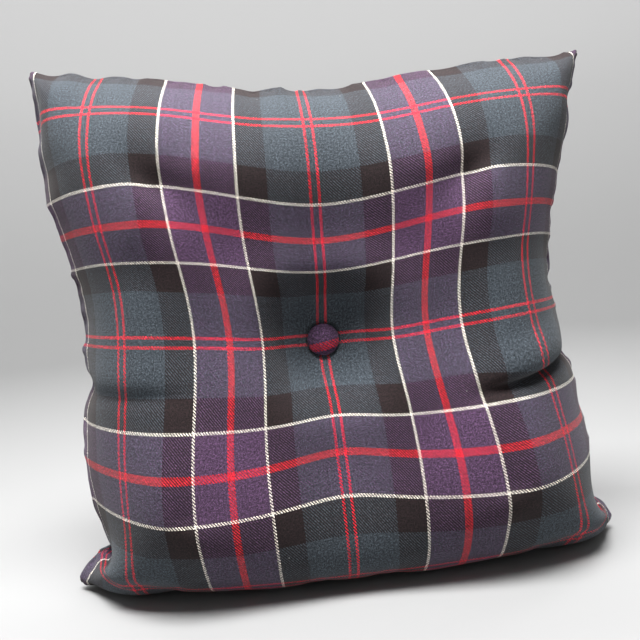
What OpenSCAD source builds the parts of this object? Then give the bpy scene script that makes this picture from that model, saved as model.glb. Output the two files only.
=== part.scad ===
// Square scatter cushion with a cloth-covered button on each face, tied together through its middle.
// Millimetres. It stands on its lower edge, which is pressed flat, with its buttoned front face
// towards -Y and +Z up. The origin is on the ground, below the middle of the cushion.
//
// The soft parts are worked out lying down: X across the width, Y up the face and Z out of the
// front face, from the middle of the cushion. upright() stands them on their foot.

/* [Cover] */
// Width between the corners
cover_w = 428; // [300:1:600]
// Height of the upper corners above the middle
top_reach = 208; // [150:1:300]
// Height of the middle above the ground
foot_reach = 168; // [120:1:260]
// Depth of the front face from the seam, before the dimple is taken out of it
face_rise = 90; // [40:1:120]
// Share of the half width by which the middle of a free side is pulled in
side_pull = 0.16; // [0:0.01:0.25]
// Thickness of the woven cover cloth
cloth_t = 1.0; // [0.6:0.1:2]
// Width of the seam allowance inside the cover
allowance_w = 8; // [5:1:12]

/* [Tufted middle] */
// Share of the depth that the button takes away in the middle
dimple_depth = 0.7; // [0.3:0.01:0.8]
// Radius of the dimple as a share of the half width
dimple_r = 0.33; // [0.2:0.01:0.5]

/* [Pad] */
// Thickness of the pad's cotton case
case_t = 0.8; // [0.4:0.1:1.5]
// Gap between the cover and the pad on the faces
pad_gap = 0.6; // [0.4:0.1:3]
// Distance from the cover's edge to the pad's edge
pad_inset = 15; // [12:1:30]

/* [Button] */
// Diameter of the covered button
button_d = 22; // [15:1:38]
// Height of the covered button
button_h = 7; // [5:0.5:10]
// Diameter of the shank wire
wire_d = 1.0; // [0.8:0.1:1.5]
// Diameter of one strand of twine
twine_d = 1.0; // [0.8:0.1:1.5]

/* [Sewing] */
// Diameter of the sewing thread
thread_d = 0.5; // [0.3:0.1:0.8]
// Length of the hand-sewn closing gap in the foot's seam
closing_w = 190; // [120:10:260]
// Distance between closing stitches
closing_pitch = 10; // [6:1:20]

/* [Hidden] */
$fn = 64;
// Steps of the soft sheets from one edge to the other
sheet_steps = 26;
// Crowding of the sheet's steps towards the middle and the edges
step_crowding = 0.5;
// Roundness of a free side, as a power and a root
side_power = 2.4;
side_root = 0.55;
// Roundness of the side that is pressed flat by the ground, and where its flat part begins. The
// flat part narrows to nothing at the corners.
foot_power = 6;
foot_root = 0.4;
foot_flat_from = 0.955;
// How closely an inset keeps to the edge and leaves the middle alone
inset_power = 8;
// Doubled edge of a sheet outside its seam allowance
edge_w = 5;

case_drop = cloth_t + pad_gap;
case_inner_drop = case_drop + case_t;
filling_gap = 0.4;
filling_drop = case_inner_drop + filling_gap;
case_allowance_w = 6;
case_seam_inset = pad_inset + edge_w;
filling_inset = case_seam_inset + case_allowance_w + 2;
// Distance of a seam's thread inside the doubled edge
seam_line = 2;

// Holes for the twine and the shanks, in cloth and in the filling
hole_d = 7.2;
channel_d = 9;
// Gap between pieces that are pressed together, and between pieces that turn past each other
fit_gap = 0.05;
turn_gap = 0.3;

// Height of the button above the bottom of its dimple, so that its rim clears the cloth
button_seat = 3.3;
button_skirt_h = 1.8;
skin_t = 0.6;
cap_t = 0.5;
plate_t = 0.8;
tuck_w = 2.2;
loop_r = 2.6;
loop_leg = 1.0;
wire_head_d = 2.2;
wire_head_h = 0.6;
twine_bend_r = 2.1;
knot_d = 6.4;
knot_h = 4;

tuft_rise = face_rise * (1 - dimple_depth);
button_z = tuft_rise + button_seat;
// Middle of the shank loop's lowest wire, below the button
loop_low = loop_leg + loop_r;
// Centre of the twine's bend below the button: it hooks over the loop with a turning gap
bend_low = loop_low + twine_bend_r - wire_d / 2 - twine_d / 2 - turn_gap;
bend_z = button_z - bend_low;

cover_color = [0.26, 0.25, 0.32];
case_color = [0.88, 0.86, 0.80];
filling_color = [0.93, 0.92, 0.89];
thread_color = [0.20, 0.18, 0.22];
metal_color = [0.72, 0.73, 0.75];
twine_color = [0.80, 0.74, 0.60];

// Stands what is drawn lying down on its foot, with its front face towards -Y
module upright() {
  translate([0, 0, foot_reach])
    rotate([90, 0, 0])
      children();
}

// ---- Shape of the stuffed cushion -------------------------------------------------------------

// Position across the sheet, -1 to 1, for step i: steps crowd where the surface bends most
function crowd(s) = s - step_crowding * sin(360 * s) / (2 * PI);
function across(i) =
  let (s = 2 * i / sheet_steps - 1)
  sign(s) * crowd(abs(s));

// Fullness from 0 at a seam to 1 in the middle, at a free side and at the foot
function free_round(t) = pow(max(0, 1 - pow(abs(t), side_power)), side_root);
function foot_round(t) = pow(max(0, 1 - pow(abs(t), foot_power)), foot_root);

// Depth of the outer face from the seam, with the dimple that the button pulls
function rise(u, v) =
  face_rise * free_round(u) * (v < 0 ? foot_round(v) : free_round(v))
  * (1 - dimple_depth * exp(-(u * u + v * v) / (dimple_r * dimple_r)));

// How far an inset moves a point inwards
function inset_at(t, inset) = inset * sign(t) * pow(abs(t), inset_power);

// A free side is pulled in between its corners, and the foot is flat
function plan_x(u, v, inset) =
  cover_w / 2 * u * (1 - side_pull * (1 - v * v) * u * u) - inset_at(u, inset);
function flat_from(u) = foot_flat_from + (1 - foot_flat_from) * pow(abs(u), inset_power);
function plan_y(u, v, inset) =
  (v < 0
    ? -foot_reach * min(1, -v / flat_from(u))
    : top_reach * v * (1 - side_pull * (1 - u * u) * v * v))
  - inset_at(v, inset);
function plan(u, v, inset) = [plan_x(u, v, inset), plan_y(u, v, inset)];

row = sheet_steps + 1;
grid_count = row * row;

// Grid of points that lies a drop below the outer face and never nearer the seam than lift.
// side is 1 for the front and -1 for the back.
function sheet_points(side, inset, drop, lift) =
  [for (j = [0:sheet_steps], i = [0:sheet_steps])
    let (u = across(i), v = across(j), xy = plan(u, v, inset))
    [xy.x, xy.y, side * max(lift, rise(u, v) - drop)]];

// Two triangles for one cell. Its diagonal points to the middle, so that the quarters mirror.
function cell(a, b, c, d, inwards) =
  inwards ? [[a, b, c], [a, c, d]] : [[a, b, d], [b, c, d]];

function grid_faces(first) =
  [for (j = [0:sheet_steps - 1], i = [0:sheet_steps - 1])
    let (at = first + j * row + i, inwards = (i < sheet_steps / 2) == (j < sheet_steps / 2))
    each cell(at, at + 1, at + row + 1, at + row, inwards)];

function flipped(faces) = [for (f = faces) [f[0], f[2], f[1]]];

// Grid steps [i, j] around the edge, anticlockwise from the lower left corner
loop_steps = concat(
  [for (k = [0:sheet_steps - 1]) [k, 0]],
  [for (k = [0:sheet_steps - 1]) [sheet_steps, k]],
  [for (k = [0:sheet_steps - 1]) [sheet_steps - k, sheet_steps]],
  [for (k = [0:sheet_steps - 1]) [0, sheet_steps - k]]
);
loop_count = len(loop_steps);

// Point indices of a grid's edge, and of a plain loop of points
function grid_edge(first) = [for (s = loop_steps) first + s.y * row + s.x];
function plain_loop(first) = [for (k = [0:loop_count - 1]) first + k];

// Band of triangles between two loops of the same length
function band(low, high) =
  [for (k = [0:loop_count - 1])
    let (n = (k + 1) % loop_count)
    each [[low[k], low[n], high[n]], [low[k], high[n], high[k]]]];

// Point on the loop around the edge, at an inset and a height
function loop_point(s, inset, z) =
  let (xy = plan(across(s.x), across(s.y), inset))
  [xy.x, xy.y, z];

// A soft sheet over one half of the cushion, closed by its doubled edge and by a seam allowance
// that lies flat inside
module soft_sheet(side, inset, drop, thickness, allowance) {
  inner_inset = inset + edge_w;
  inner = grid_count;
  low = 2 * grid_count;
  high = low + loop_count;
  points = concat(
    sheet_points(side, inset, drop, 0),
    sheet_points(side, inner_inset, drop + thickness, thickness),
    [for (s = loop_steps) loop_point(s, inner_inset + allowance, 0)],
    [for (s = loop_steps) loop_point(s, inner_inset + allowance, side * thickness)]
  );
  faces = concat(
    grid_faces(0),
    flipped(grid_faces(inner)),
    band(plain_loop(low), grid_edge(0)),
    band(plain_loop(high), plain_loop(low)),
    band(grid_edge(inner), plain_loop(high))
  );
  polyhedron(points, side > 0 ? flipped(faces) : faces);
}

// Steps of the loop that a seam is sewn along: all but the closing gap in the foot
gap_steps = [for (k = [0:sheet_steps]) if (abs(across(k)) * cover_w < closing_w) k];
sewn_from = gap_steps[len(gap_steps) - 1] + 1;
sewn_to = loop_count + gap_steps[0] - 1;
sewn_steps = [for (k = [sewn_from:sewn_to]) loop_steps[k % loop_count]];
sewn_count = len(sewn_steps);

// A cord of rectangular section along the sewn part of the edge
module edge_cord(inset, z, w, h) {
  corners = [[0, 0], [w, 0], [w, h], [0, h]];
  points = [for (c = corners, s = sewn_steps) loop_point(s, inset + c.x, z + c.y)];
  walls = [for (q = [0:3], k = [0:sewn_count - 2])
    let (a = q * sewn_count + k, b = ((q + 1) % 4) * sewn_count + k)
    each [[a, a + 1, b + 1], [a, b + 1, b]]];
  start = [for (q = [0:3]) q * sewn_count];
  end = [for (q = [3:-1:0]) (q + 1) * sewn_count - 1];
  polyhedron(points, concat(walls, [start, end]));
}

// Hole for the twine and the shanks through the middle of a layer of cloth
module tuft_hole() {
  cylinder(d = hole_d, h = 3 * face_rise, center = true);
}

// ---- Cover ------------------------------------------------------------------------------------

module cover_panel(side) {
  color(cover_color)
    upright()
      difference() {
        soft_sheet(side, 0, 0, cloth_t, allowance_w);
        tuft_hole();
      }
}

module front_cover() {
  cover_panel(1);
}

module back_cover() {
  cover_panel(-1);
}

// Both sides of a lockstitch line, lying on the two allowances
module lockstitch(inset, layer_t) {
  for (z = [layer_t, -layer_t - thread_d])
    edge_cord(inset, z, thread_d, thread_d);
}

module cover_seam_thread() {
  color(thread_color)
    upright()
      lockstitch(edge_w + seam_line, cloth_t);
}

// Overlock thread along the raw edges of both allowances
module cover_overlock_thread() {
  bound_t = cloth_t + thread_d;
  color(thread_color)
    upright()
      edge_cord(edge_w + allowance_w, -bound_t, thread_d, 2 * bound_t);
}

// Ladder stitches that pull the two folded edges of the gap together
module closing_stitches() {
  stitch_h = 3;
  count = floor(closing_w / closing_pitch / 2);
  color(thread_color)
    upright()
      for (k = [-count:count])
        translate([k * closing_pitch, edge_w / 2 - foot_reach, 0])
          cylinder(d = thread_d, h = stitch_h, center = true, $fn = 16);
}

// ---- Pad --------------------------------------------------------------------------------------

module pad_case_panel(side) {
  color(case_color)
    upright()
      difference() {
        soft_sheet(side, pad_inset, case_drop, case_t, case_allowance_w);
        tuft_hole();
      }
}

module pad_case_front() {
  pad_case_panel(1);
}

module pad_case_back() {
  pad_case_panel(-1);
}

module pad_seam_thread() {
  color(case_color)
    upright()
      lockstitch(case_seam_inset + seam_line, case_t);
}

// The fibre filling, one closed lump with a channel for the twine
module filling() {
  edge_lift = 1;
  points = concat(
    sheet_points(1, filling_inset, filling_drop, edge_lift),
    sheet_points(-1, filling_inset, filling_drop, edge_lift)
  );
  faces = concat(
    grid_faces(0),
    flipped(grid_faces(grid_count)),
    band(grid_edge(grid_count), grid_edge(0))
  );
  color(filling_color)
    upright()
      intersection() {
        difference() {
          cube([cover_w, cover_w, 2 * face_rise], center = true);
          cylinder(d = channel_d, h = 3 * face_rise, center = true);
        }
        polyhedron(points, faces);
      }
}

// ---- Covered buttons --------------------------------------------------------------------------
// Each is drawn with its underside on the XY plane and its dome upwards.

dome_sag = button_h - button_skirt_h;
dome_r = (pow(button_d / 2, 2) + dome_sag * dome_sag) / (2 * dome_sag);
cap_offset = skin_t + fit_gap;
cap_inner_offset = cap_offset + cap_t;

// The button's outline, shrunk on all sides by an offset
module button_body(offset) {
  intersection() {
    translate([0, 0, offset])
      cylinder(r = button_d / 2 - offset, h = button_h);
    translate([0, 0, button_h - dome_r])
      sphere(r = dome_r - offset);
  }
}

// Cloth drawn over the cap and tucked in under its rim
module button_cloth() {
  difference() {
    button_body(0);
    button_body(skin_t);
    translate([0, 0, -1])
      cylinder(r = button_d / 2 - tuck_w, h = skin_t + 2);
  }
}

module button_cap() {
  difference() {
    button_body(cap_offset);
    button_body(cap_inner_offset);
    cylinder(r = button_d / 2 - cap_inner_offset, h = cap_inner_offset + fit_gap);
  }
}

// Pressed plate that closes the cap, with a stiffening ridge and two holes for the shank wire
module button_plate() {
  ridge_r = 6;
  ridge_w = 1;
  ridge_h = 0.8;
  difference() {
    translate([0, 0, skin_t]) {
      cylinder(r = button_d / 2 - cap_inner_offset - fit_gap, h = plate_t);
      translate([0, 0, plate_t])
        difference() {
          cylinder(r = ridge_r + ridge_w, h = ridge_h);
          translate([0, 0, -1])
            cylinder(r = ridge_r, h = ridge_h + 2);
        }
    }
    for (x = [-loop_r, loop_r])
      translate([x, 0, -1])
        cylinder(d = wire_d + 2 * fit_gap, h = plate_t + 3);
  }
}

// Half a turn of round wire or cord in the XZ plane, curving towards -Z
module half_turn(r, d) {
  rotate([-90, 0, 0])
    rotate_extrude(angle = 180)
      translate([r, 0])
        circle(d = d);
}

// Wire shank: a bend, two legs, and the upset heads that hold them in the plate
module button_loop() {
  leg_h = loop_leg + skin_t + plate_t;
  translate([0, 0, -loop_leg]) {
    half_turn(loop_r, wire_d);
    for (x = [-loop_r, loop_r])
      translate([x, 0, 0]) {
        cylinder(d = wire_d, h = leg_h);
        translate([0, 0, leg_h])
          cylinder(d = wire_head_d, h = wire_head_h);
      }
  }
}

// Puts a button's piece in the dimple of the front (1) or the back (-1)
module in_dimple(side) {
  upright()
    rotate([side > 0 ? 0 : 180, 0, 0])
      translate([0, 0, button_z])
        children();
}

module front_button_cloth() {
  color(cover_color) in_dimple(1) button_cloth();
}

module front_button_shell() {
  color(metal_color) in_dimple(1) button_cap();
}

module front_button_back() {
  color(metal_color) in_dimple(1) button_plate();
}

module front_button_loop() {
  color(metal_color) in_dimple(1) button_loop();
}

module back_button_cloth() {
  color(cover_color) in_dimple(-1) button_cloth();
}

module back_button_shell() {
  color(metal_color) in_dimple(-1) button_cap();
}

module back_button_back() {
  color(metal_color) in_dimple(-1) button_plate();
}

module back_button_loop() {
  color(metal_color) in_dimple(-1) button_loop();
}

// ---- Tie --------------------------------------------------------------------------------------

// An endless loop of twine: two strands through the pad, each end hooked over a shank
module tufting_twine() {
  color(twine_color)
    upright() {
      for (y = [-twine_bend_r, twine_bend_r])
        translate([0, y, 0])
          cylinder(d = twine_d, h = 2 * bend_z, center = true);
      for (turn = [0, 180])
        rotate([turn, 0, 0])
          translate([0, 0, bend_z])
            rotate([180, 0, 90])
              half_turn(twine_bend_r, twine_d);
    }
}

// The twine's tail, wrapped tight around both strands behind the back button
module twine_knot() {
  edge = 0.6;
  knot_gap = 2;
  color(twine_color)
    upright()
      translate([0, 0, knot_gap - bend_z])
        difference() {
          rotate_extrude()
            polygon([
              [0, 0], [knot_d / 2 - edge, 0], [knot_d / 2, edge],
              [knot_d / 2, knot_h - edge], [knot_d / 2 - edge, knot_h], [0, knot_h]
            ]);
          for (y = [-twine_bend_r, twine_bend_r])
            translate([0, y, -1])
              cylinder(d = twine_d + 2 * fit_gap, h = knot_h + 2);
        }
}

front_cover();
back_cover();
cover_seam_thread();
cover_overlock_thread();
closing_stitches();
pad_case_front();
pad_case_back();
pad_seam_thread();
filling();
front_button_cloth();
front_button_shell();
front_button_back();
front_button_loop();
back_button_cloth();
back_button_shell();
back_button_back();
back_button_loop();
tufting_twine();
twine_knot();
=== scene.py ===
import math

import bpy
import numpy as np
from mathutils import Matrix, Vector


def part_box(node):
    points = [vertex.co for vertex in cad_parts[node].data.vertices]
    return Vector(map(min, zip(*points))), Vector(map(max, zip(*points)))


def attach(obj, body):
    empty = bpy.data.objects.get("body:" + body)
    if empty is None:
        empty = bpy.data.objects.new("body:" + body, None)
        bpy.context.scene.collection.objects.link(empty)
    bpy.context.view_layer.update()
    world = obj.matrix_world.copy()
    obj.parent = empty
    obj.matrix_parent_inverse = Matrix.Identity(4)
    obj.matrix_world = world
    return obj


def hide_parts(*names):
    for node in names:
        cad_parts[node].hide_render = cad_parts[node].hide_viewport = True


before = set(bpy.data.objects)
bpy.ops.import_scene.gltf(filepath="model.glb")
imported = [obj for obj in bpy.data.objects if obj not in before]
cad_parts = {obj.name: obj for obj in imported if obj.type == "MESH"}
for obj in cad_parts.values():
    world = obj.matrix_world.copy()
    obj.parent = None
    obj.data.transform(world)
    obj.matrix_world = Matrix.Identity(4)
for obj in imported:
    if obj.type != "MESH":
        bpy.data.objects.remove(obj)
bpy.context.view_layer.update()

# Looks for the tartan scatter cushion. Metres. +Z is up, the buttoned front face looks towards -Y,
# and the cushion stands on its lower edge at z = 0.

# ---- Sizes ----

cut_w = 0.45  # each cover panel between its seams, laid flat
half_cut = cut_w / 2
cloth_t = 0.001
allowance_w = 0.008
case_t = 0.0008
case_allowance_w = 0.006
pad_inset = 0.020  # from the cover's seam to the pad case's
pad_drop = 0.0025  # from the cover's outer face to the pad case's
filling_inset = 0.034
filling_drop = 0.0045
thread_r = 0.00022
seam_gap = 0.00015  # from the seam's middle to the cloth on each side of it
cover_layer = cloth_t + seam_gap
case_layer = case_t + seam_gap
closing_w = 0.19  # the gap in the foot's seam that the pad went in by
tiny = 1e-12  # keeps a division clear of zero

front_low, front_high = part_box("front_button_cloth")
twine_low, twine_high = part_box("tufting_twine")
knot_low, knot_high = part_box("twine_knot")
button_r = (front_high.x - front_low.x) / 2
button_h = front_high.y - front_low.y
tuft = Vector(((front_low.x + front_high.x) / 2, 0, (front_low.z + front_high.z) / 2))
button_seat = 0.0033  # the button's underside stands this far off the cloth
tuft_depth = abs(front_high.y) - button_seat
hole_r = 0.0036  # in the panels, round the twine
channel_r = 0.0045  # through the filling
hole_cells = 3  # a sheet's hole takes this many cells each way from its middle


# ---- Cover shape ----

def simulate_cover():
    """Sews two flat squares together, ties their middles to each other and blows them up while
    they stand on the floor. Gives the front and the back as grids of points, rows from the foot
    upwards."""
    cells = 70
    frames = 60
    cloth_mass = 0.35  # kg, of both panels
    contact_gap = 0.002  # the solver's, round the cloth and on the ground
    t = np.linspace(-1, 1, cells + 1)
    u, v = np.meshgrid(t, t)
    rest = np.stack([u * half_cut, np.zeros_like(u), tuft.z + v * half_cut], -1)
    front, back = rest.copy(), rest.copy()
    start_steepness = 3
    bulge = np.minimum(1, start_steepness * (1 - u ** 2) * (1 - v ** 2)) * tuft_depth
    front[..., 1] = -bulge
    back[..., 1] = bulge
    inside = (np.abs(u) < 1) & (np.abs(v) < 1)
    front_index = np.arange(u.size).reshape(u.shape)
    back_index = front_index.copy()
    back_index[inside] = u.size + np.arange(inside.sum())
    points = np.concatenate([front.reshape(-1, 3), back[inside]])
    flat = np.concatenate([rest.reshape(-1, 3), rest[inside]])
    faces = np.concatenate([grid_quads(front_index), grid_quads(back_index)[:, [0, 3, 2, 1]]])

    mesh = bpy.data.meshes.new("cover_simulation")
    mesh.from_pydata(points.tolist(), [], faces.tolist())
    pillow = bpy.data.objects.new("cover_simulation", mesh)
    bpy.context.scene.collection.objects.link(pillow)
    pillow.shape_key_add(name="Basis")
    rest_key = pillow.shape_key_add(name="rest")
    rest_key.data.foreach_set("co", flat.astype(np.float32).ravel())
    rest_key.value = 0
    under_button = np.hypot(flat[:, 0], flat[:, 2] - tuft.z) < 0.9 * button_r
    tied = pillow.vertex_groups.new(name="tied")
    tied.add(np.flatnonzero(under_button).tolist(), 1, "REPLACE")

    cloth = pillow.modifiers.new("Cloth", "CLOTH")
    settings = cloth.settings
    settings.quality = 6
    settings.mass = cloth_mass / len(points)
    settings.tension_stiffness = 40
    settings.compression_stiffness = 40
    settings.shear_stiffness = 3
    settings.bending_stiffness = 3
    settings.tension_damping = 5
    settings.compression_damping = 5
    settings.shear_damping = 5
    settings.bending_damping = 0.5
    settings.air_damping = 2
    settings.vertex_group_mass = tied.name
    settings.pin_stiffness = 1
    settings.use_pressure = True
    settings.uniform_pressure_force = 5
    settings.fluid_density = 0
    settings.rest_shape_key = rest_key
    settings.effector_weights.gravity = 0.15
    cloth.collision_settings.use_collision = True
    cloth.collision_settings.distance_min = contact_gap
    cloth.collision_settings.use_self_collision = False
    cloth.point_cache.frame_start = 1
    cloth.point_cache.frame_end = frames

    ground_mesh = bpy.data.meshes.new("simulation_ground")
    ground_mesh.from_pydata([(-1, -1, 0), (1, -1, 0), (1, 1, 0), (-1, 1, 0)], [], [(0, 1, 2, 3)])
    ground = bpy.data.objects.new("simulation_ground", ground_mesh)
    bpy.context.scene.collection.objects.link(ground)
    ground.modifiers.new("Collision", "COLLISION")
    ground.collision.thickness_outer = contact_gap
    ground.collision.cloth_friction = 5

    for frame_number in range(1, frames + 1):
        bpy.context.scene.frame_set(frame_number)
    shaped = pillow.evaluated_get(bpy.context.evaluated_depsgraph_get()).to_mesh()
    found = np.zeros(len(shaped.vertices) * 3, np.float32)
    shaped.vertices.foreach_get("co", found)
    found = found.reshape(-1, 3).astype(float)
    bpy.data.objects.remove(pillow)
    bpy.data.objects.remove(ground)
    bpy.context.scene.frame_set(1)
    return found[front_index], found[back_index]


def grid_quads(index):
    """Quads between the neighbours of a grid of vertex numbers."""
    corners = [index[:-1, :-1], index[:-1, 1:], index[1:, 1:], index[1:, :-1]]
    return np.stack(corners, -1).reshape(-1, 4)


def sample(grid, u, v):
    """Points of a grid at -1 to 1 across and up, by Catmull-Rom curves through its own points."""
    last = grid.shape[0] - 1
    out = np.zeros(u.shape + (3,))
    x = (u + 1) / 2 * last
    y = (v + 1) / 2 * last
    i = np.clip(np.floor(x).astype(int), 0, last - 1)
    j = np.clip(np.floor(y).astype(int), 0, last - 1)
    padded = np.pad(grid, ((1, 1), (1, 1), (0, 0)), mode="reflect", reflect_type="odd")
    for b, weight_y in enumerate(spline_weights(y - j)):
        for a, weight_x in enumerate(spline_weights(x - i)):
            out += (weight_x * weight_y)[..., None] * padded[j + b, i + a]
    return out


def spline_weights(t):
    """The shares of four neighbouring points in a Catmull-Rom curve, t of the way between the
    inner two."""
    return (
        ((2 - t) * t - 1) * t / 2,
        (t * t * (3 * t - 5) + 2) / 2,
        ((4 - 3 * t) * t + 1) * t / 2,
        (t - 1) * t * t / 2,
    )


def smooth_step(x, low, high):
    """0 below low, 1 above high, and a smooth rise between them."""
    t = np.clip((x - low) / (high - low), 0, 1)
    return t * t * (3 - 2 * t)


def hump(distance, reach):
    """1 in the middle, and dying away smoothly to nothing over about two reaches."""
    return np.exp(-(distance / reach) ** 2)


def wave_noise(x, seed, waves=5):
    """Smooth seeded noise along a line, about -1 to 1, with bumps about 1 long."""
    draw = np.random.default_rng(seed)
    total = np.zeros_like(x)
    for _ in range(waves):
        total += np.sin(2 * np.pi * (x * draw.uniform(0.35, 1.1) + draw.random()))
    return total / waves ** 0.5


def normals_of(grid):
    """Unit normals of a grid of points, away from the back for a front grid."""
    across = np.gradient(grid, axis=1)
    up = np.gradient(grid, axis=0)
    n = np.cross(across, up)
    return n / np.maximum(np.linalg.norm(n, axis=-1, keepdims=True), tiny)


def sheet_lines(count):
    """Positions -1 to 1 across a sheet, crowded in the middle and at the edges."""
    crowding = 0.5  # 0 is even, and 1 would pile them up
    t = np.linspace(-1, 1, count + 1)
    return t - crowding * np.sin(2 * np.pi * t) / (2 * np.pi)


def sheet_plan(count, radius):
    """Flat positions of a sheet's vertices in metres, its quads, and the vertices around the round
    hole in its middle."""
    lines = sheet_lines(count) * half_cut
    x, z = np.meshgrid(lines, lines)
    index = np.arange(x.size).reshape(x.shape)
    middle = count // 2
    first, last = middle - hole_cells, middle + hole_cells
    hole_half = lines[last]
    square = np.maximum(abs(x), abs(z))
    rounded = square / np.maximum(np.hypot(x, z), tiny) * radius / hole_half
    pull = 1 - smooth_step(square, hole_half, 4 * hole_half)
    factor = 1 + (rounded - 1) * pull
    quads = grid_quads(index)
    rows, columns = np.divmod(quads[:, 0], count + 1)
    in_hole = (first <= columns) & (columns < last) & (first <= rows) & (rows < last)
    ring = edge_loop(index[first:last + 1, first:last + 1])
    return x * factor, z * factor, quads[~in_hole], ring


def edge_loop(index):
    """Vertex numbers around the edge of a grid, against the clock as seen with +X right."""
    return np.concatenate([index[0, :-1], index[:-1, -1], index[-1, :0:-1], index[:0:-1, 0]])


# ---- What the simulation doesn't give ----

def relax(front, back, where, rounds):
    """Evens out both faces together where a mask from 0 to 1 says so. The seam is evened along
    itself, and the faces stay joined on it."""
    step = 0.7  # of the way to the middle of a point's neighbours, each round
    share = step * where[..., None]
    for _ in range(rounds):
        middles = []
        for face in (front, back):
            middle = face.copy()
            above_and_below = face[:-2, 1:-1] + face[2:, 1:-1]
            on_both_sides = face[1:-1, :-2] + face[1:-1, 2:]
            middle[1:-1, 1:-1] = (above_and_below + on_both_sides) / 4
            for row in (0, -1):
                middle[row, 1:-1] = (face[row, :-2] + face[row, 2:]) / 2
                middle[1:-1, row] = (face[:-2, row] + face[2:, row]) / 2
                for column in (0, -1):
                    beside = 1 if column == 0 else -2
                    inside = 1 if row == 0 else -2
                    middle[row, column] = (face[row, beside] + face[inside, column]) / 2
            middles.append(middle)
        front = front + (middles[0] - front) * share
        back = back + (middles[1] - back) * share
    return front, back


def even_out(front, back):
    """The average of both faces and their mirror images, so that no stray crease of the simulation
    stands out."""
    mirror, swap = np.array((-1, 1, 1)), np.array((1, -1, 1))
    both = (front + back * swap) / 2
    both = (both + both[:, ::-1] * mirror) / 2
    return both, both * swap


def settle(front, back):
    """Blunts the corners, eases the creases of the upper edge, the sides and the dimples, and
    shifts the cloth a little, the way handling and leaning leave it."""
    front, back = even_out(front, back)
    t = np.linspace(-1, 1, len(front))
    u, v = np.meshgrid(t, t)
    x, z = u * half_cut, v * half_cut
    from_tuft = np.hypot(x, z)
    slack = smooth_step(from_tuft, 0.012, 0.05)  # 0 where the button holds the cloth down

    corner = smooth_step(np.minimum(abs(u), abs(v)), 0.72, 0.95)
    front, back = relax(front, back, corner, 8)
    upper_edge = smooth_step(v, 0.5, 0.9) * (1 - smooth_step(abs(u), 0.65, 0.9))
    sides = smooth_step(abs(u), 0.55, 0.8) * (1 - smooth_step(abs(v), 0.4, 0.75))
    dimple = smooth_step(from_tuft, 0.010, 0.03) * (1 - smooth_step(from_tuft, 0.11, 0.16))
    creased = np.maximum(np.maximum(upper_edge, sides), dimple)
    front, back = relax(front, back, creased, 60)

    # Four lobes, with valleys between them that run from the button to the middles of the sides.
    lobe_at, lobe_reach = 0.085, 0.055
    valley_at, valley_reach, valley_half = 0.07, 0.055, 0.028
    lobes = hump(abs(x) - lobe_at, lobe_reach) * hump(abs(z) - lobe_at, lobe_reach)
    valleys = hump(x, valley_half) * hump(abs(z) - valley_at, valley_reach)
    valleys += 0.5 * hump(z, valley_half) * hump(abs(x) - valley_at, valley_reach)
    shoulder = hump(from_tuft - 0.060, 0.028)  # a ring around the dimple
    swell = slack * (0.008 * lobes + 0.011 * shoulder - 0.008 * valleys)

    # The whole cushion is drawn in at the sides, more so beside the button, and sinks at the top.
    # The foot is let down until it stands on the ground.
    draw_in = 0.035
    move_x = -draw_in * front[..., 0]
    move_x -= 0.004 * np.sign(x) * slack * hump(z, 0.06) * hump(abs(x) - 0.09, 0.06)
    lowest = min(front[..., 2].min(), back[..., 2].min())
    move_z = -0.008 * smooth_step(v, 0.1, 0.7) - lowest * smooth_step(-v, 0.3, 1.0)
    # Where on the flat panel, how far around it, and how far right and up, all in metres.
    shifts = (
        (-0.170, -0.225, 0.170, 0.016, 0.000),  # lower left, tucked in
        (-0.215, 0.020, 0.100, 0.006, 0.000),  # left side, drawn in
        (-0.225, -0.100, 0.070, -0.008, 0.000),  # lower left side, let out
        (0.225, -0.140, 0.095, 0.024, 0.000),  # lower right side, let out
        (-0.225, 0.225, 0.080, 0.011, -0.003),  # upper left ear
        (0.225, 0.225, 0.080, 0.010, -0.009),  # upper right ear
        (0.225, -0.225, 0.050, -0.004, 0.000),  # lower right ear
        (-0.225, -0.225, 0.050, 0.002, 0.000),  # lower left ear
        (0.100, 0.140, 0.090, 0.000, -0.006),  # upper right lobe, sunk a little
        (0.000, -0.100, 0.050, 0.000, 0.006),  # below the button, drawn up to it
        (0.000, 0.115, 0.075, 0.000, -0.012),  # above the button, drawn down to it
    )
    for at_x, at_z, reach, right, up in shifts:
        near = slack * hump(x - at_x, reach) * hump(z - at_z, reach)
        move_x += near * right
        move_z += near * up
    front = front + np.stack([move_x, -swell, move_z], -1)
    back = back + np.stack([move_x, swell, move_z], -1)
    return front, back


def rim_places(x, z):
    """How far a flat position is from the seam, and its place along the rim. The four sides have
    places of their own, so that no two of them get the same folds."""
    to_edge = half_cut - np.maximum(abs(x), abs(z))
    by_side = abs(x) > abs(z)
    along = np.where(by_side, z + np.sign(x), x + 3 * np.sign(z))
    return to_edge, along


def pucker(points, x, z, side, depth):
    """Short folds that the seam draws up across itself, and longer ones further in."""
    to_edge, along = rim_places(x, z)
    folds = wave_noise(along / 0.014, 3) * hump(to_edge, 0.011)
    folds += 0.6 * wave_noise(along / 0.045, 5 + side) * hump(to_edge, 0.03)
    height = depth * folds * smooth_step(to_edge, 0, 0.004)
    return points + normals_of(points) * side * height[..., None]


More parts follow.
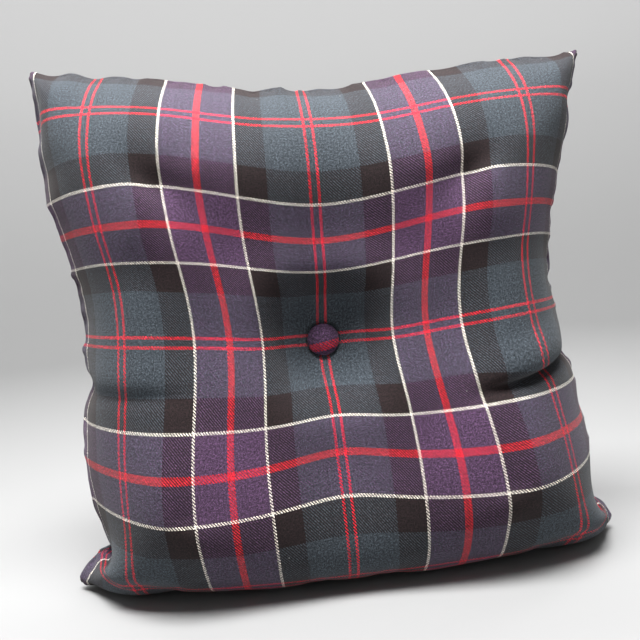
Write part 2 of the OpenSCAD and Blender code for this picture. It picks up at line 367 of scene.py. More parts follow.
def side_folds(points, x, z, side):
    """Short folds that run in from both side seams a little below the middle. On the front of the
    right one the cloth above hangs over the cloth below."""
    level = -0.033
    slope = 0.16  # of the right fold, which runs down towards the middle
    above = z - level + slope * (0.2 - abs(x)) * (x > 0)
    shallow, deep = 0.003, 0.011
    depth = np.where((x > 0) & (side > 0), deep, shallow)
    depth = depth * smooth_step(abs(x), 0.085, 0.16) * smooth_step(half_cut - abs(x), 0, 0.02)
    notch = 0.006 * hump(above, 0.012) * smooth_step(abs(x), 0.185, half_cut)
    out = points.copy()
    out[..., 0] -= np.sign(x) * notch
    out[..., 1] -= side * depth * (0.6 * hump(above - 0.011, 0.010) - hump(above + 0.003, 0.006))
    out[..., 2] -= 0.6 * depth * hump(above - 0.006, 0.009)
    return out


def seam_ripple(points, x, z):
    """Small waves along the seam, in and out and from side to side, that die away inwards."""
    to_edge, along = rim_places(x, z)
    by_side = abs(x) > abs(z)
    height = np.where(by_side, z, np.sign(z) * half_cut)
    off_the_foot = smooth_step(height, -0.9 * half_cut, -0.5 * half_cut)
    off_the_corners = 1 - smooth_step(np.minimum(abs(x), abs(z)), 0.8 * half_cut, half_cut)
    fade = np.exp(-to_edge / 0.018) * off_the_foot * off_the_corners
    across = 0.0008 * wave_noise(along / 0.034, 31) * fade
    sideways = 0.0018 * wave_noise(along / 0.048, 32) * fade
    move_x = np.where(by_side, np.sign(x), 0) * across
    move_z = np.where(by_side, 0, np.sign(z)) * across
    return points + np.stack([move_x, sideways, move_z], -1)


class Shape:
    """The stuffed cushion's surface over flat positions in metres from the middle of a panel."""

    def __init__(self, front, back):
        self.grids = {1: front, -1: back}

    def face(self, side, x, z):
        """Points on one face of the cover."""
        points = sample(self.grids[side], x / half_cut, z / half_cut)
        return seam_ripple(side_folds(points, x, z, side), x, z)

    def surface(self, side, x, z, inset=0):
        """Points on one face. An inset shape lies inside the seam, with its faces rounded together
        and its corners held back from the cover's."""
        if not inset:
            return self.face(side, x, z)
        corner_inset = 0.045
        corner = smooth_step(np.minimum(abs(x), abs(z)), 0.5 * half_cut, 0.95 * half_cut)
        scale = 1 - (inset + corner_inset * corner) / half_cut
        near = self.face(side, x * scale, z * scale)
        far = self.face(-side, x * scale, z * scale)
        from_rim = np.clip((half_cut - np.maximum(abs(x), abs(z))) / (1.5 * inset), 0, 1)
        round_off = np.sqrt(1 - (1 - from_rim) ** 2)[..., None]
        return (near + far) / 2 + (near - far) / 2 * round_off

    def sheet(self, side, x, z, inset=0, drop=0, puckers=0):
        """A grid of points this far below one face, with seam puckers. Where the cushion is thin,
        the drop is less than half of its thickness, and no point goes below the ground."""
        near = self.surface(side, x, z, inset)
        gap = np.linalg.norm(near - self.surface(-side, x, z, inset), axis=-1)
        down = np.minimum(drop, 0.42 * gap)
        points = near - normals_of(near) * side * down[..., None]
        if puckers:
            points = pucker(points, x, z, side, puckers)
        points[..., 2] = np.maximum(points[..., 2], down)
        return points

    def rim(self, x, z, inset=0):
        """Points on the seam, and the ways from there into the cushion and out of its front. The
        way in is found this far from the seam, and leans a little towards the tuft."""
        reach = 0.008
        lean = 0.3
        inner_x, inner_z = (np.clip(c, reach - half_cut, half_cut - reach) for c in (x, z))
        seam = self.surface(1, x, z, inset)
        front, back = (self.surface(side, inner_x, inner_z, inset) for side in (1, -1))
        to_middle = np.array(tuft) - seam
        to_middle /= np.linalg.norm(to_middle, axis=-1, keepdims=True)
        inward = (front + back) / 2 - seam + lean * reach * to_middle
        inward /= np.linalg.norm(inward, axis=-1, keepdims=True)
        inward *= np.hypot(inner_x - x, inner_z - z)[:, None] / reach
        outward = front - back
        outward /= np.linalg.norm(outward, axis=-1, keepdims=True)
        return seam, inward, outward


# ---- Meshes ----

class Build:
    """Collects the vertices, faces and cloth coordinates of one mesh."""

    def __init__(self):
        self.points, self.flat, self.faces, self.count = [], [], [], 0

    def add(self, points, faces, flat=None):
        points = np.asarray(points, float).reshape(-1, 3)
        flat = np.zeros((len(points), 2)) if flat is None else np.asarray(flat).reshape(-1, 2)
        self.points.append(points)
        self.flat.append(flat)
        self.faces += [[int(i) + self.count for i in f] for f in faces]
        self.count += len(points)

    def make(self, name, material, body):
        points, flat = np.concatenate(self.points), np.concatenate(self.flat)
        used = np.unique([i for f in self.faces for i in f])
        renumber = np.zeros(len(points), int)
        renumber[used] = np.arange(len(used))
        mesh = bpy.data.meshes.new(name)
        mesh.from_pydata(points[used].tolist(), [], [renumber[f].tolist() for f in self.faces])
        corners = np.zeros(len(mesh.loops), int)
        mesh.loops.foreach_get("vertex_index", corners)
        layer = mesh.uv_layers.new(name="cloth")
        layer.data.foreach_set("uv", flat[used][corners].astype(np.float32).ravel())
        mesh.polygons.foreach_set("use_smooth", [True] * len(mesh.polygons))
        mesh.materials.append(material)
        mesh.update()
        piece = bpy.data.objects.new(name, mesh)
        bpy.context.scene.collection.objects.link(piece)
        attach(piece, body)
        return piece


def band(low, high):
    """Quads between two closed loops of vertex numbers."""
    return np.stack([low, high, np.roll(high, -1), np.roll(low, -1)], -1)


def panel(name, material, side, count, inset, drop, thickness, allowance, puckers, offset):
    """One soft panel: its outer and inner faces, joined around the middle hole and, at the rim,
    round the fold of the seam and its allowance."""
    x, z, quads, hole = sheet_plan(count, hole_r)
    edge = edge_loop(np.arange(x.size).reshape(x.shape))
    fold_r = 0.003  # inside the fold of the seam
    lip = 0.0011  # from the seam to where the outer face starts
    reach = np.maximum(abs(x), abs(z)) + 1e-9  # never 0, as it is divided by
    shrink = (half_cut - np.hypot(half_cut - reach, fold_r)) / reach
    outer = cushion.sheet(side, x, z, inset, drop, puckers).reshape(-1, 3)
    inner = cushion.sheet(side, x * shrink, z * shrink, inset, drop + thickness, puckers)
    seam, inward, outward = cushion.rim(x.ravel()[edge], z.ravel()[edge], inset)
    outward = outward * side
    outer[edge] = seam + inward * lip + outward * seam_gap

    far_side = seam_gap + thickness
    steps = ((allowance, seam_gap), (allowance, far_side), (fold_r, far_side))
    flat = np.stack([x, z], -1).reshape(-1, 2)
    made = Build()
    made.points = [outer, inner.reshape(-1, 3)]
    made.flat = [flat + offset, flat * shrink.ravel()[:, None] + offset]
    loops = [edge]
    total = x.size
    for k, (inwards, outwards) in enumerate(steps):
        made.points.append(seam + inward * inwards + outward * outwards)
        made.flat.append(flat[edge] * (1 + inwards / half_cut) + offset)
        loops.append(2 * total + k * len(edge) + np.arange(len(edge)))
    loops.append(edge + total)
    faces = [quads, quads[:, ::-1] + total]
    faces += [band(a, b) for a, b in zip(loops, loops[1:])]
    faces.append(band(hole, hole + total)[:, ::-1])
    faces = np.concatenate(faces)
    made.faces = (faces if side > 0 else faces[:, ::-1]).tolist()
    return made.make(name, material, "cushion")


def directions(path, closed):
    """Unit steps along a path of points, which may be a closed loop."""
    along = np.roll(path, -1, 0) - np.roll(path, 1, 0) if closed else np.gradient(path, axis=0)
    return along / np.linalg.norm(along, axis=1, keepdims=True)


def tube(path, radius, sides=8, closed=False):
    """Vertices and faces of a round tube along a path of points, which is a closed loop or has its
    ends closed."""
    along = directions(path, closed)
    across = np.zeros_like(along)
    last = np.cross(along[0], (0, 0, 1) if abs(along[0][2]) < 0.9 else (1, 0, 0))
    for k, t in enumerate(along):
        last = last - t * t.dot(last)
        last /= math.sqrt(last.dot(last))
        across[k] = last
    up = np.cross(along, across)
    angles = np.arange(sides)[None, :, None] * 2 * np.pi / sides
    spokes = np.cos(angles) * across[:, None] + np.sin(angles) * up[:, None]
    points = path[:, None] + radius * spokes
    index = np.arange(len(path) * sides).reshape(len(path), sides)
    if closed:
        index = np.concatenate([index, index[:1]])
    low, high = index[:-1], index[1:]
    faces = np.stack([np.roll(low, -1, 1), np.roll(high, -1, 1), high, low], -1)
    faces = faces.reshape(-1, 4).tolist()
    if not closed:
        faces += [index[0][::-1].tolist(), index[-1].tolist()]
    return points.reshape(-1, 3), faces


def path_lengths(path):
    """How far each point is along its path."""
    steps = np.linalg.norm(np.diff(path, axis=0), axis=1)
    return np.concatenate([[0], np.cumsum(steps)])


def spread(path, spacing):
    """Points along a path about a spacing apart. What follows a point's place goes with it."""
    lengths = path_lengths(path[:, :3])
    at = np.linspace(0, lengths[-1], max(int(round(lengths[-1] / spacing)), 2) + 1)
    return np.stack([np.interp(at, lengths, path[:, k]) for k in range(path.shape[1])], -1)


def seam_run(inset, stitch):
    """The sewn part of the rim, all but the closing gap in the foot: points on the seam a stitch
    apart, with the ways in and out there."""
    samples = 401
    lines = np.linspace(-half_cut, half_cut, samples)
    x, z = np.meshgrid(lines, lines)
    edge = edge_loop(np.arange(x.size).reshape(x.shape))
    x, z = x.ravel()[edge], z.ravel()[edge]
    start = int(np.argmax((x > closing_w / 2) & (z == z.min())))
    x, z = np.roll(x, -start), np.roll(z, -start)
    keep = ~((z == z.min()) & (abs(x) < closing_w / 2))
    seam, inward, outward = cushion.rim(x[keep], z[keep], inset)
    run = spread(np.concatenate([seam, inward, outward], 1), stitch)
    return run[:, :3], run[:, 3:6], run[:, 6:]


def lockstitches(name, material, inset, layer_t):
    """A line of stitches on each side of a seam, each dipping into the cloth at its ends."""
    from_seam = 0.0024
    seam, inward, outward = seam_run(inset, stitch=0.003)
    line = seam + inward * from_seam
    t = np.linspace(0.08, 0.92, 5)[:, None]
    height = layer_t + thread_r * (1.6 * np.sin(np.pi * t) - 0.6)
    made = Build()
    for side in (1, -1):
        lift = outward * side
        for start, end, start_lift, end_lift in zip(line, line[1:], lift, lift[1:]):
            along = start + (end - start) * t
            raised = (start_lift + (end_lift - start_lift) * t) * height
            made.add(*tube(along + raised, thread_r, 6))
    return made.make(name, material, "cushion")


def overlock(name, material, inset, reach, layer_t):
    """One thread that winds round the raw edges of both seam allowances."""
    half_w = 0.0021  # of the windings, which reach a little past the raw edge
    past_edge = 0.0003
    run = np.concatenate(seam_run(inset, stitch=0.0028), 1)
    turns = len(run) - 1
    t = np.arange(0, turns, 1 / 8)
    run = np.stack([np.interp(t, np.arange(turns + 1), column) for column in run.T], -1)
    seam, inward, outward = run[:, :3], run[:, 3:6], run[:, 6:]
    angle = 2 * np.pi * t[:, None]
    depth = reach + past_edge - half_w + half_w * np.cos(angle)
    height = (layer_t + 2 * thread_r) * np.sin(angle)
    made = Build()
    made.add(*tube(seam + inward * depth + outward * height, thread_r, 6))
    return made.make(name, material, "cushion")


def closing(name, material, pitch=0.01):
    """Ladder stitches by hand across the gap that the pad went in by: each crosses the seam, a
    little aslant, and dips into the fold at its ends."""
    half_long, aslant = 0.0016, 0.0005
    under_seam, dip = 0.0007, 0.0006
    t = np.linspace(-1, 1, 9)[:, None]
    count = int(closing_w / pitch / 2)
    made = Build()
    for k in range(-count, count + 1):
        seam, inward, outward = cushion.rim(np.array([k * pitch]), np.array([-half_cut]))
        path = seam + outward * half_long * t + inward * (under_seam + dip * t ** 2)
        path[:, 0] += aslant * t[:, 0]
        made.add(*tube(path, thread_r, 8))
    return made.make(name, material, "cushion")


def filling_lump(name, material, count=150):
    """The fibre filling: both faces of one lump, joined at the rim and through the middle."""
    x, z, quads, hole = sheet_plan(count, channel_r)
    edge = edge_loop(np.arange(x.size).reshape(x.shape))
    tufts = wave_noise(x / 0.03, 11) * wave_noise(z / 0.03, 12)
    tufts += 0.5 * wave_noise((x + z) / 0.012, 13) * wave_noise((x - z) / 0.012, 14)
    inside = smooth_step(rim_places(x, z)[0], 0, 0.02)
    hollow_depth = 0.0012
    hollows = hollow_depth * (1 + np.clip(tufts, -1, 1)) * inside
    made = Build()
    for side in (1, -1):
        points = cushion.sheet(side, x, z, filling_inset, filling_drop)
        points -= normals_of(points) * side * hollows[..., None]
        made.points.append(points.reshape(-1, 3))
    made.flat = [np.stack([x, z], -1).reshape(-1, 2)] * 2
    total = x.size
    made.faces = np.concatenate([
        quads, quads[:, ::-1] + total, band(edge, edge + total), band(hole, hole + total)[:, ::-1]
    ]).tolist()
    return made.make(name, material, "cushion")


# ---- Buttons and twine ----

def button_skin(name, material, body, side, centre, turn):
    """Cloth gathered over a domed cap and tucked in under its rim. side is 1 for the front. centre
    is the middle of the disc on the flat tartan that it is cut from, and turn is how far it has
    turned."""
    skin_t = 0.0006
    clear = 0.00002  # both faces of the skin lie this far inside the CAD cloth's
    tuck_r = button_r - 0.0022
    skirt_h = 0.0018
    sag = button_h - skirt_h
    dome_r = (button_r ** 2 + sag ** 2) / (2 * sag)
    rim_r = 0.0009
    pleat = 0.00012
    pull = 0.85  # flat cloth to cloth stretched over the dome

    def profile(offset):
        """Radius and height from the crown to the tuck, this far inside the outer surface."""
        out_r, inner_dome_r = button_r - offset, dome_r - offset
        r = np.sin(np.linspace(0, 1, 26)[1:] * math.asin((out_r - 0.0003) / inner_dome_r))
        r *= inner_dome_r
        h = button_h - dome_r + np.sqrt(inner_dome_r ** 2 - r ** 2)
        turn_r = rim_r - offset * 0.6
        bend = np.linspace(0, np.pi / 2, 7)
        low_r = out_r - turn_r + turn_r * np.cos(bend)
        low_h = offset + turn_r - turn_r * np.sin(bend)
        tuck = np.linspace(out_r - turn_r, tuck_r, 4)[1:]
        tuck_h = np.full(len(tuck), offset)
        return np.concatenate([r, low_r, tuck]), np.concatenate([h, low_h, tuck_h])

    segments = 144
    angles = np.arange(segments) * 2 * np.pi / segments
    pleats = pleat * abs(wave_noise(angles * 5, 21))
    made = Build()
    loops, tops = [], []
    for offset in (clear, skin_t - clear):
        r, h = profile(offset)
        gathered = r[:, None] - smooth_step(-h, -skirt_h, 0)[:, None] * pleats
        heights = np.repeat(h[:, None], segments, 1)
        local = np.stack([gathered * np.cos(angles), gathered * np.sin(angles), heights], -1)
        flat_r = pull * (r[0] + path_lengths(np.stack([r, h], -1)))[:, None]
        flat = np.stack([flat_r * np.cos(angles + turn), flat_r * np.sin(angles + turn)], -1)
        loops.append(made.count + np.arange(len(r) * segments).reshape(-1, segments))
        made.add(to_face(local, side), [], flat + centre)
        tops.append(made.count)
        made.add(to_face(np.array([[0, 0, button_h - offset]]), side), [], [centre])
    outer, inner = loops
    faces = [band(a, b) for a, b in zip(outer, outer[1:])]
    faces.append(band(outer[-1], inner[-1]))
    faces += [band(b, a) for a, b in zip(inner, inner[1:])]
    made.faces = np.concatenate(faces).tolist()
    made.faces += [[tops[0], a, b] for a, b in zip(outer[0], np.roll(outer[0], -1))]
    made.faces += [[tops[1], b, a] for a, b in zip(inner[0], np.roll(inner[0], -1))]
    return made.make(name, material, body)


def to_face(local, side):
    """Points drawn beside a button, x to the right and y up as one looks at it and z towards the
    viewer, moved to the front or the back of the cushion."""
    x, y, z = np.moveaxis(local, -1, 0)
    seat = abs(front_high.y)
    return np.stack([tuft.x + side * x, -side * (seat + z), tuft.z + y], -1)


def strands(made, path, diameter, closed=False):
    """Adds a laid twine along a path: its three plies wind round the path like a rope's."""
    plies = 3
    lay = 0.0032  # along the twine, for one turn of a ply
    lengths = path_lengths(path)
    total = lengths[-1] + (np.linalg.norm(path[0] - path[-1]) if closed else 0)
    turns = round(total / lay)
    along = directions(path, closed)
    guide = np.array((0.2, 0.1, 1.0))  # the knot's path comes near this direction once a turn
    across = guide - along * (along @ guide)[:, None]
    across /= np.linalg.norm(across, axis=1, keepdims=True)
    up = np.cross(along, across)
    squash = 1.08  # the plies press into each other
    ply_r = squash * diameter / 2 / (1 + 2 / math.sqrt(3))
    wind_r = diameter / 2 - ply_r
    for k in range(plies):
        angle = (2 * np.pi * (turns * lengths / total + k / plies))[:, None]
        ply = path + wind_r * (np.cos(angle) * across + np.sin(angle) * up)
        made.add(*tube(ply, ply_r, 7, closed))


def twine_loop(name, material):
    """The closed loop between the two shank loops. It is drawn too thick: as a rope that is as
    thick as the CAD's whole loop is high, with its legs side by side and its ends bent inwards.
    The CAD's twine is 1 mm thick, and its legs lie one above the other."""
    diameter = twine_high.z - twine_low.z
    leg_x = (twine_high.x - twine_low.x) / 2 - diameter / 2  # negative, so the ends bend inwards
    middle_z = (twine_high.z + twine_low.z) / 2
    bend_y = twine_high.y - diameter / 2 - leg_x
    bend = np.linspace(0, np.pi, 17)
    half = np.stack([leg_x * np.cos(bend), bend_y + leg_x * np.sin(bend)], -1)
    leg = np.linspace(bend_y, -bend_y, 120)[1:-1]
    left = np.stack([np.full_like(leg, -leg_x), leg], -1)
    line = np.concatenate([half, left, -half, -left])
    path = np.stack([line[:, 0], line[:, 1], np.full(len(line), middle_z)], -1)
    made = Build()
    strands(made, path, diameter, closed=True)
    return made.make(name, material, "cushion")


def wrapped_knot(name, material):
    """A knot of several turns wound tight around both legs of the twine."""
    middle = (knot_low + knot_high) / 2
    size = knot_high - knot_low
    diameter = 0.00095
    clear = 0.0001  # inside the CAD knot's outline
    r = size.x / 2 - diameter / 2 - clear
    turns = size.y / diameter - 1
    t = np.linspace(0, 1, int(turns * 40))
    angle = 2 * np.pi * turns * t
    y = (t - 0.5) * (size.y - diameter)
    path = np.array(middle) + np.stack([r * np.cos(angle), y, r * np.sin(angle)], -1)
    made = Build()
    strands(made, path, diameter)
    return made.make(name, material, "cushion")


# ---- Materials ----

def linear(r, g, b):
    """A colour given as 11 to 255 on a screen, as linear light."""
    return tuple(((c / 255 + 0.055) / 1.055) ** 2.4 for c in (r, g, b)) + (1,)


class Shader:
    """One material's nodes, with short ways to add them."""

    def __init__(self, name, roughness=0.9, **settings):
        self.material = bpy.data.materials.new(name)
        self.material.use_nodes = True
        self.tree = self.material.node_tree
        self.surface = self.tree.nodes["Principled BSDF"]
        self.surface.inputs["Roughness"].default_value = roughness
        for key, value in settings.items():
            self.surface.inputs[key.replace("_", " ")].default_value = value

    def add(self, kind, out=0, **inputs):
        """Adds a node. Capitalised names are inputs, by name, and the others are its settings."""
        node = self.tree.nodes.new("ShaderNode" + kind)
        for key, value in inputs.items():
            if key[0].isupper():
                self.put(node.inputs[key.replace("_", " ")], value)
            else:
                setattr(node, key, value)
        return node.outputs[out]

    def put(self, socket, value):
        """Links a socket to another one's output, or sets its own value."""
        if isinstance(value, bpy.types.NodeSocket):
            self.tree.links.new(value, socket)
        else:
            socket.default_value = value

    def math(self, operation, *values):
        node = self.tree.nodes.new("ShaderNodeMath")
        node.operation = operation
        for socket, value in zip(node.inputs, values):
            self.put(socket, value)
        return node.outputs[0]

    def mix(self, kind, factor, a, b, blend="MIX"):
        """A Mix node, whose sockets for numbers and for colours stand at different places."""
        first, out = {"FLOAT": (2, 0), "RGBA": (6, 2)}[kind]
        node = self.tree.nodes.new("ShaderNodeMix")
        node.data_type = kind
        node.blend_type = blend
        self.put(node.inputs[0], factor)
        self.put(node.inputs[first], a)
        self.put(node.inputs[first + 1], b)
        return node.outputs[out]

    def shaded(self, colour, light):
        """A colour made lighter or darker by a number."""
        grey = self.add("CombineColor", Red=light, Green=light, Blue=light)
        return self.mix("RGBA", 1.0, colour, grey, "MULTIPLY")

    def steps(self, factor, stops):
        """Colours that change sharply at each stop, a position from 0 to 1 and its colour."""
        node = self.tree.nodes.new("ShaderNodeValToRGB")
        node.color_ramp.interpolation = "CONSTANT"
        elements = node.color_ramp.elements
        while len(elements) > 1:
            elements.remove(elements[-1])
        for k, (position, colour) in enumerate(stops):
            element = elements[0] if k == 0 else elements.new(position)
            element.position = position
            element.color = colour
        self.put(node.inputs[0], factor)
        return node.outputs[0]

    def cloth_position(self):
        """The place on the flat cloth in metres, and its two parts."""
        flat = self.add("UVMap", uv_map="cloth")
        return flat, *(self.add("SeparateXYZ", part, Vector=flat) for part in (0, 1))

    def object_position(self):
        """The place in the piece's own metres."""
        return self.add("TexCoord", 3)

    def noise(self, position, scale, detail):
        return self.add("TexNoise", Vector=position, Scale=scale, Detail=detail)

    def spanned(self, value, low, high, start=0.0, end=1.0):
        """A value from start to end, stretched to run from low to high and held there beyond."""
        return self.add(
            "MapRange", Value=value, From_Min=start, From_Max=end, To_Min=low, To_Max=high)

    def finish(self, colour, height=None, strength=0.5, distance=0.001, roughness=None):
        """The material with this colour, and with a relief this deep in metres if it has one."""
        self.put(self.surface.inputs["Base Color"], colour)
        if roughness is not None:
            self.put(self.surface.inputs["Roughness"], roughness)
        if height is not None:
            bump = self.add("Bump", Height=height, Strength=strength, Distance=distance)
            self.put(self.surface.inputs["Normal"], bump)
        return self.material


# The sett, in threads from the middle of the double red line to the middle of the broad red one.
# It turns back at both.
half_sett = 158
white_line = 104
violet_band = 108
broad_red = 153
sett_stops = (
    (0, "green"), (4, "red"), (8, "green"), (65, "dark"),
    (white_line, "white"), (violet_band, "violet"), (broad_red, "red"),
)
yarns = {
    "green": linear(65, 72, 79),
    "red": linear(226, 40, 58),
    "dark": linear(38, 26, 27),
    "white": linear(250, 242, 228),
    "violet": linear(85, 61, 89),
}
warp_pitch = 0.0005
weft_pitch = 0.00055


def tartan():
    """Worsted 2/2 twill, coloured thread by thread. Each crossing shows the yarn on top, which
    arches over two others before it dives under the next two."""
    m = Shader("tartan_twill", roughness=0.92, Sheen_Weight=0.08, Sheen_Roughness=0.5)
    m.surface.inputs["Specular IOR Level"].default_value = 0.25
    flat, x, z = m.cloth_position()
    counts, threads, colours, profiles = [], [], [], []
    for position, pitch, seed in ((x, warp_pitch, 3.0), (z, weft_pitch, 71.0)):
        count = m.math("DIVIDE", position, pitch)
        number = m.math("FLOOR", count)
        middle = m.math("ADD", number, 0.5)
        place = m.math("DIVIDE", m.math("PINGPONG", middle, half_sett), half_sett)
        colour = m.steps(place, [(start / half_sett, yarns[name]) for start, name in sett_stops])
        lot = m.add("TexWhiteNoise", noise_dimensions="1D", W=m.math("ADD", number, seed))
        colours.append(m.shaded(colour, m.spanned(lot, 0.86, 1.14)))
        counts.append(count)
        threads.append(number)
        profiles.append(m.math("SINE", m.math("MULTIPLY", m.math("FRACT", count), math.pi)))
    diagonal = m.math("FLOORED_MODULO", m.math("ADD", *threads), 4.0)
    warp_up = m.math("LESS_THAN", diagonal, 1.5)
    colour = m.mix("RGBA", warp_up, colours[1], colours[0])
    floats = []
    for along, across in ((0, 1), (1, 0)):
        place = m.math("FLOORED_MODULO", m.math("ADD", threads[across], counts[along]), 2.0)
        arch = m.math("SINE", m.math("MULTIPLY", place, math.pi / 2))
        arch = m.math("MULTIPLY_ADD", arch, 0.7, 0.3)
        floats.append(m.math("MULTIPLY", profiles[across], arch))
    height = m.mix("FLOAT", warp_up, *floats)

    # Fine fibres, the mottle of the yarns and broad patches of wear, each by its grains per metre.
    fibre = m.noise(flat, 1250.0, 4.0)
    mottle = m.noise(flat, 640.0, 2.0)
    patch = m.noise(flat, 14.0, 3.0)
    # The thread's height also scales the colour, from dark in the grooves between threads and at
    # the ends of the floats to light on their crowns: painted shade and painted highlight of the
    # weave.
    light = m.spanned(height, 0.1, 1.45)
    for share in (m.spanned(fibre, 0.35, 1.65, 0.35, 0.65),
                  m.spanned(mottle, 0.6, 1.4, 0.35, 0.65),
                  m.spanned(patch, 0.93, 1.07, 0.3, 0.7)):
        light = m.math("MULTIPLY", light, share)
    colour = m.shaded(colour, light)

    # Sparse specks of pale lint.
    specks = m.add("TexVoronoi", Vector=flat, Scale=45.0)
    lint = m.math("MULTIPLY", m.math("LESS_THAN", specks, 0.016), 0.5)
    colour = m.mix("RGBA", lint, colour, linear(205, 205, 200))
    relief = m.math("ADD", height, m.math("MULTIPLY", fibre, 0.5))
    return m.finish(colour, relief, 0.5, 0.00012, m.spanned(mottle, 0.84, 0.98))


def plain_weave(name, pale, deep):
    """Close cotton, one thread over and one under."""
    pitch = 0.00035
    m = Shader(name)
    flat, x, z = m.cloth_position()
    waves = [m.math("SINE", m.math("MULTIPLY", part, math.pi / pitch)) for part in (x, z)]
    weave = m.math("MULTIPLY", *waves)
    slub = m.noise(flat, 90.0, 4.0)
    # The weave's relief also scales the colour, a little darker between the threads and a little
    # lighter on them: painted shade of the weave.
    colour = m.shaded(m.mix("RGBA", slub, pale, deep), m.spanned(weave, 0.9, 1.05, start=-1.0))
    return m.finish(colour, weave, 0.4, 0.00008, m.spanned(slub, 0.8, 0.98))


def spun(name, pale, deep, scale=1800.0, roughness=0.85):
    """Spun thread, twine or loose fibre, by how fine its grain is."""
    m = Shader(name, roughness=roughness)
    place = m.object_position()
    grain = m.noise(place, scale, 4.0)
    patch = m.noise(place, scale / 14, 2.0)
    colour = m.mix("RGBA", m.math("MULTIPLY", grain, patch), deep, pale)
    rough = m.spanned(patch, roughness - 0.1, min(1, roughness + 0.1))
    return m.finish(colour, grain, 0.6, 0.4 / scale, rough)


def sheet_metal(name, colour, worn, roughness):
    """Pressed or drawn metal with fine handling marks."""
    m = Shader(name, roughness=roughness, Metallic=1.0)
    place = m.object_position()
    marks = m.noise(place, 900.0, 5.0)
    cloud = m.noise(place, 160.0, 2.0)
    tint = m.mix("RGBA", cloud, colour, worn)
    rough = m.spanned(marks, roughness - 0.12, roughness + 0.15)
    return m.finish(tint, marks, 0.25, 0.00003, rough)


# ---- The cushion ----

tartan_cloth = tartan()
cotton_cloth = plain_weave("pad_cotton", linear(226, 221, 208), linear(205, 199, 184))
dark_thread = spun("polyester_thread", linear(58, 54, 66), linear(24, 22, 30))
pale_thread = spun("cotton_thread", linear(228, 224, 212), linear(180, 174, 160))
fibre = spun("polyester_fibre", linear(240, 240, 236), linear(205, 204, 198), 700.0, 0.95)
twine = spun("waxed_twine", linear(196, 176, 132), linear(120, 98, 62), 1200.0, 0.6)
aluminium = sheet_metal("pressed_aluminium", linear(205, 206, 208), linear(168, 168, 172), 0.38)
wire = sheet_metal("drawn_wire", linear(188, 188, 190), linear(132, 130, 128), 0.32)

cushion = Shape(*settle(*simulate_cover()))

sides = {"front": 1, "back": -1}

# Both panels are cut from the same tartan. The front one is centred on a crossing of the double red
# lines, and the back one beside it.
panel_cuts = {"front": (0, 0), "back": (0.031, 0.012)}

# The front button is cut from the violet field, with the broad red line below its middle, and has
# turned a little. The back one is cut from the field beside it.
violet_x = (violet_band + broad_red) / 2 * warp_pitch
red_z = half_sett * weft_pitch
button_cuts = {
    "front": ((violet_x, red_z + 0.0037), math.radians(-9)),
    "back": ((violet_x, red_z - 0.012), math.radians(6)),
}


def put_in(piece, stands_for):
    """Lets a piece stand for a CAD node, which is hidden."""
    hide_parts(stands_for)
    return piece


covers, cases = [], []
for name, side in sides.items():
    cover = panel(
        f"{name}_cover_cloth", tartan_cloth, side, count=208, inset=0, drop=0, thickness=cloth_t,
        allowance=allowance_w, puckers=0.0011, offset=panel_cuts[name])
    covers.append(put_in(cover, f"{name}_cover"))
    case = panel(
        f"pad_case_{name}_cloth", cotton_cloth, side, count=120, inset=pad_inset, drop=pad_drop,
        thickness=case_t, allowance=case_allowance_w, puckers=0.0007, offset=(0, 0))
    cases.append(put_in(case, f"pad_case_{name}"))

seam = lockstitches("cover_seam_stitches", dark_thread, 0, cover_layer)
put_in(seam, "cover_seam_thread")
edging = overlock("cover_overlock_stitches", dark_thread, 0, allowance_w, cover_layer)
put_in(edging, "cover_overlock_thread")
put_in(closing("ladder_stitches", dark_thread), "closing_stitches")
case_seam = lockstitches("pad_seam_stitches", pale_thread, pad_inset, case_layer)
put_in(case_seam, "pad_seam_thread")
lump = put_in(filling_lump("fibre_filling", fibre), "filling")

for name, side in sides.items():
    centre, turn = button_cuts[name]
    skin = button_skin(f"{name}_button_skin", tartan_cloth, f"{name}_button", side, centre, turn)
    put_in(skin, f"{name}_button_cloth")
    for part, metal in (("shell", aluminium), ("back", aluminium), ("loop", wire)):
        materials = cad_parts[f"{name}_button_{part}"].data.materials
        materials.clear()
        materials.append(metal)

put_in(twine_loop("laid_twine", twine), "tufting_twine")
put_in(wrapped_knot("wrapped_knot", twine), "twine_knot")


# ---- Floor, light and camera ----

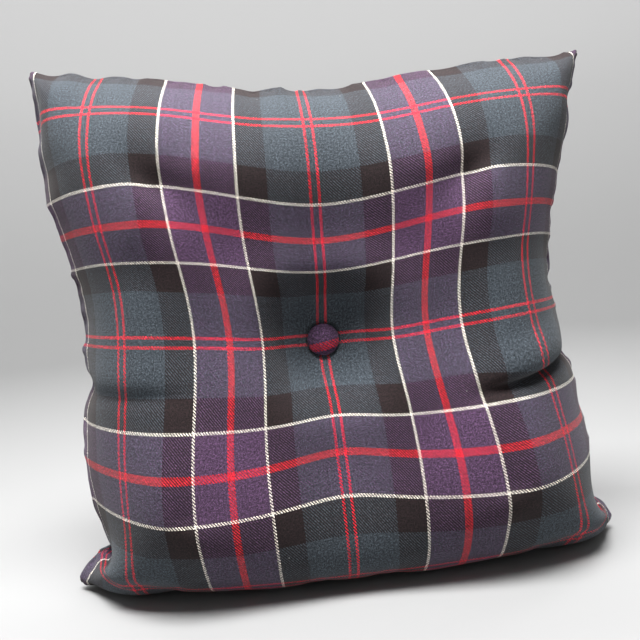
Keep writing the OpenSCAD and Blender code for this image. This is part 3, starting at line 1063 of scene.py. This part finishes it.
def backdrop():
    """A pale round floor that curves up into a faintly glowing wall all round."""
    floor_r, bend_r, wall_h = 1.8, 0.9, 4.0
    rings, segments = 12, 64
    bend = np.linspace(0, np.pi / 2, rings)[1:]
    flat_part = np.linspace(0.01, floor_r, rings)
    radius = np.concatenate([flat_part, floor_r + bend_r * np.sin(bend), [floor_r + bend_r]])
    rise = np.concatenate([np.zeros(rings), bend_r - bend_r * np.cos(bend), [wall_h]])
    around = np.linspace(0, 2 * np.pi, segments + 1)
    x, y = np.outer(radius, np.cos(around)), np.outer(radius, np.sin(around))
    z = np.repeat(rise[:, None], segments + 1, 1)
    index = np.arange(x.size).reshape(x.shape)
    mesh = bpy.data.meshes.new("studio_floor")
    points = np.stack([x, y, z], -1).reshape(-1, 3)
    mesh.from_pydata(points.tolist(), [], grid_quads(index)[:, ::-1].tolist())
    mesh.polygons.foreach_set("use_smooth", [True] * len(mesh.polygons))
    m = Shader("pale_floor")
    height = m.add("SeparateXYZ", 2, Vector=m.object_position())
    glow = m.add(
        "MapRange", interpolation_type="SMOOTHSTEP", Value=height, From_Min=0.02, From_Max=1.2,
        To_Max=0.2)
    m.put(m.surface.inputs["Emission Color"], (1, 1, 1, 1))
    m.put(m.surface.inputs["Emission Strength"], glow)
    mesh.materials.append(m.finish(linear(148, 148, 148)))
    floor = bpy.data.objects.new("studio_floor", mesh)
    bpy.context.scene.collection.objects.link(floor)


def area_light(name, place, aim, size, power):
    """A soft rectangular lamp at a place, turned towards its aim."""
    light = bpy.data.lights.new(name, "AREA")
    light.shape = "RECTANGLE"
    light.size, light.size_y = size
    light.energy = power
    lamp = bpy.data.objects.new(name, light)
    lamp.location = place
    lamp.rotation_mode = "QUATERNION"
    lamp.rotation_quaternion = (Vector(aim) - Vector(place)).to_track_quat("-Z", "Y")
    bpy.context.scene.collection.objects.link(lamp)


def camera():
    """Close, slightly above and to the left, and held a little aslant."""
    azimuth, elevation, roll = math.radians(-4.5), math.radians(5.0), math.radians(-4.7)
    distance = 0.512
    aim = tuft + Vector((0.0015, 0, 0.0115))
    level = distance * math.cos(elevation)
    place = tuft + Vector((
        level * math.sin(azimuth), -level * math.cos(azimuth), distance * math.sin(elevation)))
    back = (place - aim).normalized()
    level_right = Vector((0, 0, 1)).cross(back).normalized()
    right = level_right * math.cos(roll) + back.cross(level_right) * math.sin(roll)
    facing = Matrix((right, back.cross(right), back)).transposed()
    data = bpy.data.cameras.new("camera")
    data.lens = 39.4
    data.clip_start = 0.02
    eye = bpy.data.objects.new("camera", data)
    eye.matrix_world = Matrix.Translation(place) @ facing.to_4x4()
    bpy.context.scene.collection.objects.link(eye)
    bpy.context.scene.camera = eye


backdrop()
# The main lamp hangs above, in front and a little to the left. The other lights the wall behind.
area_light("sky", (-0.12, -0.38, 1.35), (0, -0.04, 0.25), (0.8, 0.5), 54)
area_light("wall_wash", (0, 0.9, 2.6), (0, 2.2, 0.3), (3.0, 0.6), 80)
world = bpy.data.worlds.new("studio")
world.use_nodes = True
sky = world.node_tree.nodes["Background"]
sky.inputs["Color"].default_value = (1, 1, 1, 1)
sky.inputs["Strength"].default_value = 0.03
bpy.context.scene.world = world
bpy.context.scene.view_settings.view_transform = "Standard"
camera()
